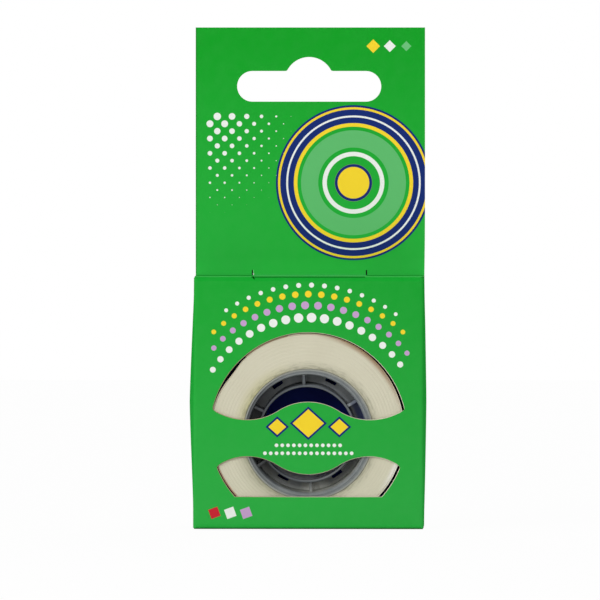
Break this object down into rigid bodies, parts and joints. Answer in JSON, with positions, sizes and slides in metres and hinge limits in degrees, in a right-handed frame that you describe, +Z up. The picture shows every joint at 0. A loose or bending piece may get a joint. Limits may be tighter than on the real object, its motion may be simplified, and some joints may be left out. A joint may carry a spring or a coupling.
{
  "type": "roll of tape in a hanging carton",
  "caption": "Folding board carton with a hanging header and a windowed front, holding one loose roll of matt adhesive tape on a ribbed plastic core.",
  "frame": {"origin": "under the middle of the carton's base, on the surface that it stands on", "axes": "+Z up towards the hanging slot, the windowed front faces -Y, +X to the right of someone facing it"},
  "size_m": [0.0638, 0.0216, 0.139],
  "materials": {
    "printed_board": "glossy print outside, dark blue print inside, pale cut edges",
    "glue": "dry adhesive",
    "core_plastic": "smoky grey moulding, satin",
    "tape_film": "wound matt film, seen edge on",
    "tab_paper": "plain paper"
  },
  "bodies": {
    "carton": {"back_panel": "printed_board", "front_panel": "printed_board", "left_side_panel": "printed_board", "right_side_panel": "printed_board", "glue_flap": "printed_board", "seam_glue": "glue"},
    "lid": {"lid_panel": "printed_board"},
    "lid_tuck": {"lid_tongue": "printed_board"},
    "top_left_flap": {"top_left_dust_flap": "printed_board"},
    "top_right_flap": {"top_right_dust_flap": "printed_board"},
    "lip": {"lock_lip": "printed_board"},
    "base": {"base_panel": "printed_board"},
    "base_tuck": {"base_tongue": "printed_board"},
    "bottom_left_flap": {"bottom_left_dust_flap": "printed_board"},
    "bottom_right_flap": {"bottom_right_dust_flap": "printed_board"},
    "roll": {"roll_core": "core_plastic", "wound_tape": "tape_film", "outer_lap": "tape_film", "starter_tab": "tab_paper"}
  },
  "joints": [
    {"name": "lid_hinge", "type": "hinge", "parent": "carton", "child": "lid", "pos_m": [0, -0.0108, 0.0695], "axis": [1, 0, 0], "range_deg": [0, 120]},
    {"name": "lid_tuck_fold", "type": "hinge", "parent": "lid", "child": "lid_tuck", "pos_m": [0, 0.00965, 0.06945], "axis": [1, 0, 0], "range_deg": [-78, 0]},
    {"name": "top_left_fold", "type": "hinge", "parent": "carton", "child": "top_left_flap", "pos_m": [-0.03135, 0, 0.06905], "axis": [0, 1, 0], "range_deg": [0, 75]},
    {"name": "top_right_fold", "type": "hinge", "parent": "carton", "child": "top_right_flap", "pos_m": [0.03135, 0, 0.06905], "axis": [0, -1, 0], "range_deg": [0, 75]},
    {"name": "lip_flex", "type": "hinge", "parent": "carton", "child": "lip", "pos_m": [0, 0.0108, 0.07175], "axis": [1, 0, 0], "range_deg": [0, 30]},
    {"name": "base_hinge", "type": "hinge", "parent": "carton", "child": "base", "pos_m": [0, -0.0108, 0.0004], "axis": [-1, 0, 0], "range_deg": [0, 120]},
    {"name": "base_tuck_fold", "type": "hinge", "parent": "base", "child": "base_tuck", "pos_m": [0, 0.00965, 0.00045], "axis": [-1, 0, 0], "range_deg": [-78, 0]},
    {"name": "bottom_left_fold", "type": "hinge", "parent": "carton", "child": "bottom_left_flap", "pos_m": [-0.03135, 0, 0.00085], "axis": [0, -1, 0], "range_deg": [0, 75]},
    {"name": "bottom_right_fold", "type": "hinge", "parent": "carton", "child": "bottom_right_flap", "pos_m": [0.03135, 0, 0.00085], "axis": [0, 1, 0], "range_deg": [0, 75]},
    {"name": "roll_spin", "type": "hinge", "parent": "carton", "child": "roll", "pos_m": [-0.0003, -0.00115, 0.0273], "axis": [0, 1, 0], "continuous": true}
  ],
  "couplings": [
    {"joint": "lid_tuck_fold", "follows": "lid_hinge", "ratio": -0.65},
    {"joint": "base_tuck_fold", "follows": "base_hinge", "ratio": -0.65}
  ]
}
